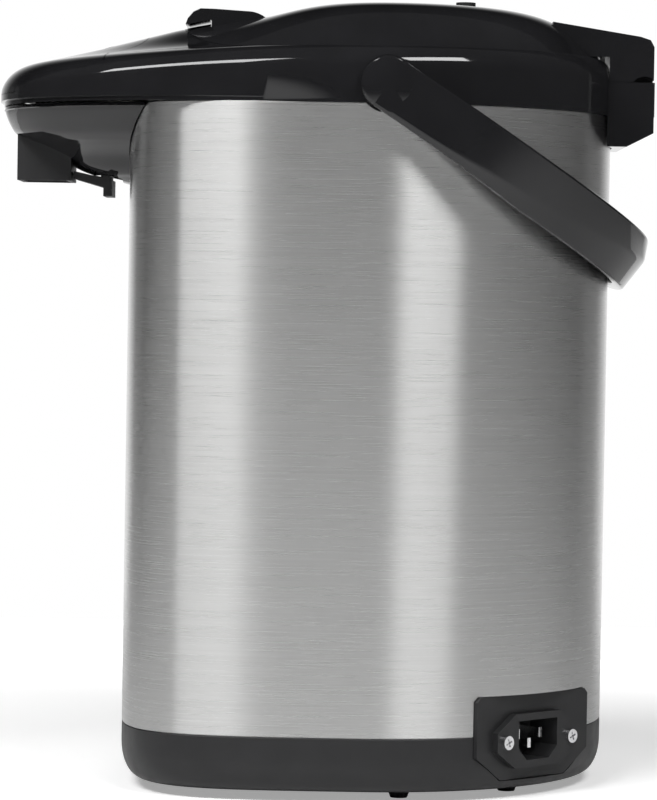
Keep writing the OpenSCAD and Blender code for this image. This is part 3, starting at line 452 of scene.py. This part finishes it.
panel = housing_form("control_panel_insert")
carve(panel, panel_prism(0, shell_top + nose_ledge_h + 3.3), "INTERSECT")
for side in (-1, 1):
    hole = disc("tool", button_r + seam_gap, -12, 12)
    hole.data.transform(on_nose(side * button_spread, 0))
    carve(panel, hole)
for i in (-2, -1, 1, 2):
    hole = disc("tool", lens_r + 0.05, -12, 12, 24)
    hole.data.transform(on_nose(i * lens_spacing, lens_along))
    carve(panel, hole)
place(panel, "root", "gloss_black", "control_panel")

# Depth under the steel's upper edge, half width, distance behind the nose's tip
cover_levels = [(0.1, 91, 1.2), (3.3, 88, 2), (7.3, 82, 3.7), (11.2, 75, 6.4), (14, 68.5, 11.9),
                (16, 63.5, 17.6), (20.5, 50, 26.2), (25.2, 41, 32.3), (27.9, 36, 39.1), (29.3, 32, 45.2),
                (31.8, 27, 54.8)]
cover_square = 2.6


def eased(levels, steps=8):
    """More levels on a smooth curve through these."""
    out = []
    for k in range(len(levels) - 1):
        a, b, c, d = (levels[max(0, min(len(levels) - 1, k + j))] for j in (-1, 0, 1, 2))
        for s in range(steps):
            u = s / steps
            out.append(tuple(0.5 * (2 * q + (r - p) * u + (2 * p - 5 * q + 4 * r - v) * u * u
                                    + (3 * q - p - 3 * r + v) * u ** 3) for p, q, r, v in zip(a, b, c, d)))
    return out + [levels[-1]]


def cover_rings(inset):
    rings = []
    for depth, half, back in eased(cover_levels)[::-1]:
        plan = [squircle(half - inset, nose_reach - back - inset, cover_square, t)
                for t in even_turns(half, nose_reach - back, cover_square)]
        rings.append(flat_ring(plan, shell_top - depth + inset * min(1, depth / 12)))
    return rings


def lipped(rings, lip_depth=1.6):
    """The upper edge leans in over its last bit, so that it catches the light."""
    low = [ring for ring in rings if ring[0][2] < shell_top - lip_depth]
    edge = rings[-1]
    return low + [[(x * (1 - lean / 90), y * (1 - lean / 150), shell_top - depth) for x, y, _ in edge]
                  for depth, lean in ((1.5, 0), (0.2, 0.35), (0.1, 0.6))]


cover = loft("nose_under_cover", lipped(cover_rings(0)) + cover_rings(cover_t)[::-1])
# The cover ends where it meets the body; it is open round the spout and the cup lever
cover_end_y, cover_low, cover_high = -74, 230, 300
spout_gap, lever_gap, cut_low = 0.3, 0.6, 240
spout_half_w, spout_half_d = nozzle_w / 2 + spout_gap, nozzle_d / 2 + spout_gap
lever_half_w = cup_lever_w / 2 + lever_gap
carve(cover, block("tool", (-150, cover_end_y, cover_low), (150, 176, cover_high)))
carve(cover, prism("tool", [body_point(seam_gap, t) for t in body_turns], shell_top - 50, shell_top + 1))
carve(cover, block("tool", (-spout_half_w, nozzle_y - spout_half_d, cut_low),
                   (spout_half_w, nozzle_y + spout_half_d, 280)))
carve(cover, block("tool", (-lever_half_w, lever_y - 5, cut_low), (lever_half_w, lever_y + 7, 264)))
lug_t = 3
for side in (-1, 1):
    x = side * (lever_half_w + lug_t / 2)
    join(cover, block("tool", (x - lug_t / 2, lever_y - 4, lever_z - 2),
                      (x + lug_t / 2, lever_y + 2, lever_z + 8)))
place(cover, "root", "gloss_black", "nose_cover")


# ---------- steel body and base ----------

def panel_outline(grow):
    w, b = 34.5 + grow, 20 + grow
    top, low = 43 + grow, 8 - grow
    return [(-b, low), (b, low), (w, 18), (w, top - 2), (w - 2, top), (2 - w, top), (-w, top - 2), (-w, 18)]


def inlet_cutout(gap):
    tool = prism("tool", panel_outline(gap), panel_face - 12, panel_face + 8)
    tool.data.transform(facing_inlet())
    return tool


def body_ring(grow, z):
    return flat_ring([body_point(grow, t) for t in body_turns], z)


def band_levels(low, high, steps):
    return [low + (high - low) * k / steps for k in range(steps + 1)]


edge_ease = 0.3
shell_rings = [body_ring(-0.25, shell_z)]
shell_rings += [body_ring(0, z) for z in band_levels(shell_z + edge_ease, shell_top - edge_ease, 12)]
shell_rings += [body_ring(-0.25, shell_top), body_ring(-shell_t, shell_top), body_ring(-shell_t, shell_z)]
shell = loft("steel_body", shell_rings, wall=True)
carve(shell, inlet_cutout(0.3))
rim = window_half_w + bezel_rim + 0.2
carve(shell, block("tool", (-rim, -body_front - 5, window_z0 - bezel_rim - 0.2),
                   (rim, -body_front + 5, window_z1 + bezel_rim + 0.2)))
place(shell, "root", "brushed_steel", "outer_shell")


def base_in(z):
    c = 1 - min((z - base_z) / base_round_up, 1)
    return base_round_in * (1 - math.sqrt(1 - c * c))


base_heights = [base_z + base_round_up * (k / 20) ** 1.7 for k in range(21)]
base = loft("base_shell", [body_ring(-base_in(z), z) for z in base_heights]
            + [body_ring(0, shell_z - 0.5), body_ring(-0.3, shell_z - 0.1)]
            + [body_ring(-shell_t - 0.2, z) for z in (shell_z - 0.1, shell_z + 6)]
            + [body_ring(-shell_t - 0.2 - base_wall, z) for z in (shell_z + 6, shell_z)]
            + [body_ring(-base_in(z) - base_wall, z) for z in base_heights[::-1]], wall=True)
carve(base, inlet_cutout(0.3))
place(base, "root", "satin_black", "base_housing")


# ---------- lid and pump cap ----------

def dome_rings(inset, sink):
    rings = []
    steps = 60
    for k in range(steps + 1):
        share = (k / steps) ** 1.7
        ring = []
        for t in even:
            p = between(lid_point(lid_r - seam_gap, t), cap_point(cap_r + seam_gap, t), share)
            side = between(lid_point(lid_r - seam_gap - inset, t),
                           cap_point(cap_r + seam_gap + (guide_t if inset else 0), t), share)
            edge = 0.3 if k == steps and not inset else 0
            ring.append((*side, dome_z(p) - sink - edge))
        rings.append(ring)
    return rings


def rim_ring(inset, drop_z):
    return [(*lid_point(lid_r - seam_gap - inset, t), drop_z) for t in even]


def guide_ring(r, z):
    return [(*cap_point(r, t), z) for t in even]


skirt_in, skirt_z, inner_plate_top = 2.2, seam_z - 3.2, 298.5
lid_rings = [rim_ring(skirt_in, skirt_z),
             [(*lid_point(lid_r - seam_gap - 0.1, t), seam_height(t) - 0.2) for t in even]]
lid_rings += dome_rings(0, 0)
lid_rings += [guide_ring(cap_r + seam_gap, guide_z), guide_ring(cap_r + seam_gap + guide_t, guide_z)]
lid_rings += dome_rings(cover_t, cover_t)[::-1] + [rim_ring(cover_t, skirt_z)]
lid = loft("lid_dome", lid_rings, wall=True)
# Openings for the lock's knob, the latch's barrel and its lever, and the bolt
latch_gap = latch_half_w + 0.6
carve(lid, block("tool", (-5, lock_y - 3, crown_z - 12), (13, lock_y + 3, crown_z + 8)))
carve(lid, cross_rod("tool", latch_r + 0.4, -latch_gap, latch_gap, latch_y, latch_z))
carve(lid, block("tool", (-latch_gap, latch_y - 16, latch_z + 4), (latch_gap, latch_y, latch_z + 34)))
carve(lid, block("tool", (-7, lid_front_y - 5, latch_z - 0.9), (7, lid_front_y + 7, latch_z + 3.1)))
# Posts for the inner plate's screws and lugs for the latch's pin, both ending inside the dome
post_r, post_circle_r, under_dome = 3.6, 60, 1.3
for a in (25, 155, 215, 325):
    x = post_circle_r * math.cos(math.radians(a))
    y = lid_y + post_circle_r * math.sin(math.radians(a))
    post = disc("tool", post_r, inner_plate_top, dome_z((x, y)) - under_dome, 32)
    post.data.transform(Matrix.Translation(Vector((x, y, 0)) * MM))
    join(lid, post)
lug_half_t = 1.6
lug_top = dome_z((latch_half_w, latch_y)) - under_dome
for side in (-1, 1):
    x = side * (latch_gap + lug_half_t)
    join(lid, block("tool", (x - lug_half_t, latch_y - 4, latch_z - 4),
                    (x + lug_half_t, latch_y + 4, lug_top)))
place(lid, "lid", "gloss_black", "lid_shell")

# The cap: a hollow underside, a flange that slides in the lid's guide, and a top flush with the dome
flange_low, flange_high, flange_out = guide_z - 2.6, guide_z - 0.6, 3
cap_rings = [guide_ring(cap_r - 2.5, cap_inside_z), guide_ring(cap_r - 2.5, flange_low),
             guide_ring(cap_r + flange_out, flange_low), guide_ring(cap_r + flange_out, flange_high),
             guide_ring(cap_r, flange_high)]
for k in range(25):
    r = cap_r * (1 - (k / 24) ** 2 * 0.98)
    proud = 0.5 * min(1, (cap_r - r) / 0.9) ** 0.5
    cap_rings.append([(*cap_point(r, t), dome_z(cap_point(r, t)) + proud) for t in even])
cap = loft("pump_cap_dome", cap_rings)
join(cap, block("tool", (7, cap_y + cap_r, flange_low), (11, lock_y + 2, flange_high)))
place(cap, "pump_cap", "gloss_black", "pump_cap")

# The bellows and the spring inside it, from the inner plate up to the cap's underside
bellows_r, bellows_folds, fold_depth, pump_travel = 22, 6, 3.5, 15
bellows_h = cap_inside_z - inner_plate_top
spring_r, spring_wire, spring_turns = 11, 0.8, 5


def bellows_wave(inset):
    steps = 12 * bellows_folds
    rings = []
    for k in range(steps + 1):
        fold = (1 + math.cos(math.tau * bellows_folds * k / steps)) / 2
        z = inner_plate_top + bellows_h * k / steps
        rings.append(guide_ring(bellows_r - fold_depth * fold - inset, z))
    return rings


def coil_rings():
    rings = []
    steps = 24 * spring_turns
    for k in range(steps + 1):
        a = -math.tau * k / 24
        z = inner_plate_top + spring_wire + (bellows_h - 2 * spring_wire) * k / steps
        ring = []
        for i in range(12):
            turn = math.tau * i / 12
            r = spring_r + spring_wire * math.cos(turn)
            ring.append((r * math.cos(a), cap_y + r * math.sin(a), z + spring_wire * math.sin(turn)))
        rings.append(ring[::-1])
    return rings


bellows = loft("bellows_folds", bellows_wave(0) + bellows_wave(1)[::-1], wall=True)
coil = loft("pump_spring_coil", coil_rings())
for piece, slot, node in ((bellows, "rubber", "pump_bellows"), (coil, "fastener_steel", "pump_spring")):
    place(piece, "lid", slot, node)
    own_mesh(piece)


# ---------- handle ----------

def bail_point(inset, t):
    return squircle(bail_half_w - inset, bail_reach - inset, bail_square, t)


def strap_section(t):
    """Pairs [across the strap, inwards from its outer face]; the ridge climbs towards the far end."""
    far = abs(math.sin(t)) ** 1.5
    grown = min(1, 3 * far)
    half = strap_end_r + (strap_w / 2 - strap_end_r) * grown
    ridge = 1.04 * far - 0.8
    corners = [(1, 1.7 + 2.8 * far), (0.985, 1.1 + 2.65 * far), (0.92, 0.5 + 2.5 * far),
               (ridge + 0.12, 0.15 * far + 0.02), (ridge, 0), (ridge - 0.08, 0.05), (-0.92, 0.3 + 0.9 * far),
               (-0.975, 0.6 + 1.05 * far), (-1, 1.2 + 1.2 * far), (-1, strap_t - 0.8), (-0.96, strap_t - 0.2),
               (-0.92, strap_t), (0.92, strap_t), (0.96, strap_t - 0.2), (1, strap_t - 0.8)]
    return [(across * half - strap_low * grown, inset) for across, inset in corners]


bail_stations = 180


def strap():
    turns = []
    for k in range(bail_stations + 1):
        a = math.pi * k / bail_stations
        c, s = math.cos(a) / bail_half_w, math.sin(a) / bail_reach
        turns.append(math.atan2(sgn_pow(s, bail_square / 2), sgn_pow(c, bail_square / 2)))
    turns[-1] = math.pi
    rings = [[(*bail_point(inset, t), across) for across, inset in strap_section(t)] for t in turns]
    return loft("bail_handle", [ring[::-1] for ring in rings])


handle = strap()
knuckle_count = 72
for side in (-1, 1):
    outer, inner = side * (bail_half_w - 0.2), side * (bail_half_w - strap_t)
    knuckle = []
    for x, r in ((inner, strap_end_r - 0.6), (inner + side * 0.6, strap_end_r),
                 (outer - side * 1.2, strap_end_r), (outer - side * 0.4, strap_end_r - 0.5),
                 (outer, strap_end_r - 1.6)):
        turns = [math.tau * i / knuckle_count for i in range(knuckle_count)]
        knuckle.append([(x, r * math.cos(t), side * r * math.sin(t)) for t in turns])
    disc_end = loft("tool", knuckle)
    bore = sorted((inner - side, inner + side * (strap_t - 2)))
    carve(disc_end, cross_rod("tool", pivot_pin_r + 0.05, *bore, 0, 0))
    join(handle, disc_end)
handle.data.transform(Matrix.Translation(Vector((0, pivot_y, pivot_z)) * MM)
                      @ Matrix.Rotation(math.radians(-bail_angle), 4, "X"))
place(handle, "handle", "gloss_black", "handle", angle=24)

# ---------- the CAD's own nodes ----------

# Width in millimetres of each node's rounded edges
soft_edges = {"hinge_bracket": 0.5, "hinge_lower_cover": 0.6, "lid_hinge_cover": 0.6, "latch_lever": 0.5,
              "spout_nozzle": 1.2, "cup_lever": 0.5, "power_inlet": 0.6, "inlet_panel": 0.5, "pump_lock": 1.4,
              "gauge_bezel": 0.5, "dispense_button": 0.5, "reboil_button": 0.5, "handle_pivot_bosses": 0.4,
              "inlet_screws": 0.25, "inlet_pins": 0.3, "base_plate": 0.4, "gauge_window": 0.2,
              "rubber_feet": 0.4, "cup_switch": 0.3, "lid_inner_plate": 0.4}
replaced_nodes = {"upper_housing", "control_panel", "nose_cover", "outer_shell", "base_housing", "lid_shell",
                  "pump_cap", "handle", "pump_bellows", "pump_spring"}
for name, obj in nodes.items():
    if name in replaced_nodes:
        continue
    finish = finishes[slot_of[name]]
    if obj.material_slots:
        for entry in obj.material_slots:
            entry.material = finish
    else:
        obj.data.materials.append(finish)
    if name in soft_edges:
        soften(obj, soft_edges[name])
    else:
        smooth(obj.data, 30)

# ---------- floor, backdrop and lights ----------


def backdrop_white(low=0.3, high=1.7, middle=0.5, side=2.0):
    """White to the camera; in reflections it fades out upwards and to both sides, in metres."""
    mat = bpy.data.materials.new("backdrop")
    tree = nodes_of(mat)[0]
    glow = tree.nodes.new("ShaderNodeEmission")
    where = tree.nodes.new("ShaderNodeTexCoord")
    axes = tree.nodes.new("ShaderNodeSeparateXYZ")
    tree.links.new(where.outputs["Object"], axes.inputs["Vector"])
    fade = tree.nodes.new("ShaderNodeMapRange")
    fade.interpolation_type = "SMOOTHERSTEP"
    fade.inputs["From Min"].default_value = low
    fade.inputs["From Max"].default_value = high
    fade.inputs["To Min"].default_value = 1.0
    fade.inputs["To Max"].default_value = 0.0
    tree.links.new(axes.outputs["Z"], fade.inputs["Value"])
    aside = tree.nodes.new("ShaderNodeMath")
    aside.operation = "ABSOLUTE"
    tree.links.new(axes.outputs["Y"], aside.inputs[0])
    flank = tree.nodes.new("ShaderNodeMapRange")
    flank.inputs["From Min"].default_value = middle
    flank.inputs["From Max"].default_value = side
    flank.inputs["To Min"].default_value = 1.0
    flank.inputs["To Max"].default_value = 0.12
    tree.links.new(aside.outputs["Value"], flank.inputs["Value"])
    both = tree.nodes.new("ShaderNodeMath")
    both.operation = "MULTIPLY"
    tree.links.new(fade.outputs["Result"], both.inputs[0])
    tree.links.new(flank.outputs["Result"], both.inputs[1])
    path = tree.nodes.new("ShaderNodeLightPath")
    most = tree.nodes.new("ShaderNodeMath")
    most.operation = "MAXIMUM"
    tree.links.new(both.outputs["Value"], most.inputs[0])
    tree.links.new(path.outputs["Is Camera Ray"], most.inputs[1])
    tree.links.new(most.outputs["Value"], glow.inputs["Strength"])
    tree.links.new(glow.outputs["Emission"], tree.nodes["Material Output"].inputs["Surface"])
    return mat


def floor_white(near=0.35, near_r=0.2, far_r=0.75):
    """A pale floor that keeps the pot's shadow near it and is plain white further off."""
    mat = bpy.data.materials.new("floor")
    tree, shader = nodes_of(mat)
    shader.inputs["Base Color"].default_value = (0.9, 0.9, 0.9, 1)
    shader.inputs["Roughness"].default_value = 0.9
    shader.inputs["Specular IOR Level"].default_value = 0.0
    shader.inputs["Emission Color"].default_value = (1, 1, 1, 1)
    where = tree.nodes.new("ShaderNodeTexCoord")
    length = tree.nodes.new("ShaderNodeVectorMath")
    length.operation = "LENGTH"
    tree.links.new(where.outputs["Object"], length.inputs[0])
    fade = tree.nodes.new("ShaderNodeMapRange")
    fade.inputs["From Min"].default_value = near_r
    fade.inputs["From Max"].default_value = far_r
    fade.inputs["To Min"].default_value = near
    fade.inputs["To Max"].default_value = 1.0
    tree.links.new(length.outputs["Value"], fade.inputs["Value"])
    path = tree.nodes.new("ShaderNodeLightPath")
    glow = tree.nodes.new("ShaderNodeMath")
    glow.operation = "MULTIPLY"
    tree.links.new(fade.outputs["Result"], glow.inputs[0])
    tree.links.new(path.outputs["Is Camera Ray"], glow.inputs[1])
    tree.links.new(glow.outputs["Value"], shader.inputs["Emission Strength"])
    return mat


floor = new_object("floor", [(-4000, -4000, 0), (4000, -4000, 0), (4000, 4000, 0), (-4000, 4000, 0)],
                   [(0, 1, 2, 3)])
floor.data.materials.append(floor_white())

# A wall behind the pot and a strip of floor in front of it, which the pot's undersides reflect
backdrop = new_object("backdrop", [(-700, -3800, 1), (-700, 3800, 1), (-2500, -3800, 1), (-2500, 3800, 1),
                                   (-2500, -3800, 3500), (-2500, 3800, 3500)], [(0, 1, 3, 2), (2, 3, 5, 4)])
backdrop.data.materials.append(backdrop_white())
backdrop.visible_diffuse = False
backdrop.visible_shadow = False


def softbox(name, azimuth, elevation, distance, width, height, radiance):
    """A lit panel that faces the pot; azimuth is from the camera's side towards the back."""
    data = bpy.data.lights.new(name, "AREA")
    data.shape = "RECTANGLE"
    data.size, data.size_y = width, height
    data.energy = radiance * math.pi * width * height
    lamp = bpy.data.objects.new(name, data)
    a, e = math.radians(azimuth), math.radians(elevation)
    spot = Vector((math.cos(e) * math.cos(a), math.cos(e) * math.sin(a), math.sin(e))) * distance
    target = Vector((0, 0, 0.2))
    lamp.location = target + spot
    lamp.rotation_euler = (-spot).to_track_quat("-Z", "Y").to_euler()
    bpy.context.scene.collection.objects.link(lamp)
    return lamp


softbox("softbox_front", -42, 46, 1.7, 1.25, 0.5, 13.5)
softbox("softbox_back", 34, 46, 1.7, 0.75, 0.5, 14)

world = bpy.data.worlds.new("room")
bpy.context.scene.world = world
world.use_nodes = True
tree = world.node_tree
room = tree.nodes["Background"]
room.inputs["Color"].default_value = (1, 1, 1, 1)
room.inputs["Strength"].default_value = 0.04
white = tree.nodes.new("ShaderNodeBackground")
white.inputs["Color"].default_value = (1, 1, 1, 1)
white.inputs["Strength"].default_value = 1.0
light_path = tree.nodes.new("ShaderNodeLightPath")
choose = tree.nodes.new("ShaderNodeMixShader")
tree.links.new(light_path.outputs["Is Camera Ray"], choose.inputs["Fac"])
tree.links.new(room.outputs["Background"], choose.inputs[1])
tree.links.new(white.outputs["Background"], choose.inputs[2])
tree.links.new(choose.outputs["Shader"], tree.nodes["World Output"].inputs["Surface"])

# ---------- camera ----------

# It stands at the pot's side and looks slightly downwards, tilted a little about its own axis
pitch, roll = math.radians(1.62), math.radians(0.96)
forward = Vector((-math.cos(pitch), 0, -math.sin(pitch)))
level = Vector((0, 1, 0))
upright = Vector((-math.sin(pitch), 0, math.cos(pitch)))
right = level * math.cos(roll) + upright * math.sin(roll)
up = upright * math.cos(roll) - level * math.sin(roll)
camera_data = bpy.data.cameras.new("camera")
camera_data.sensor_fit = "VERTICAL"
camera_data.sensor_height = 36
camera_data.lens = 162.5
stand_point = Matrix.Translation((1.570, -0.0161, 0.206))
camera = bpy.data.objects.new("camera", camera_data)
camera.matrix_world = stand_point @ Matrix((right, up, -forward)).transposed().to_4x4()
bpy.context.scene.collection.objects.link(camera)
bpy.context.scene.camera = camera
bpy.context.scene.view_settings.view_transform = "Standard"
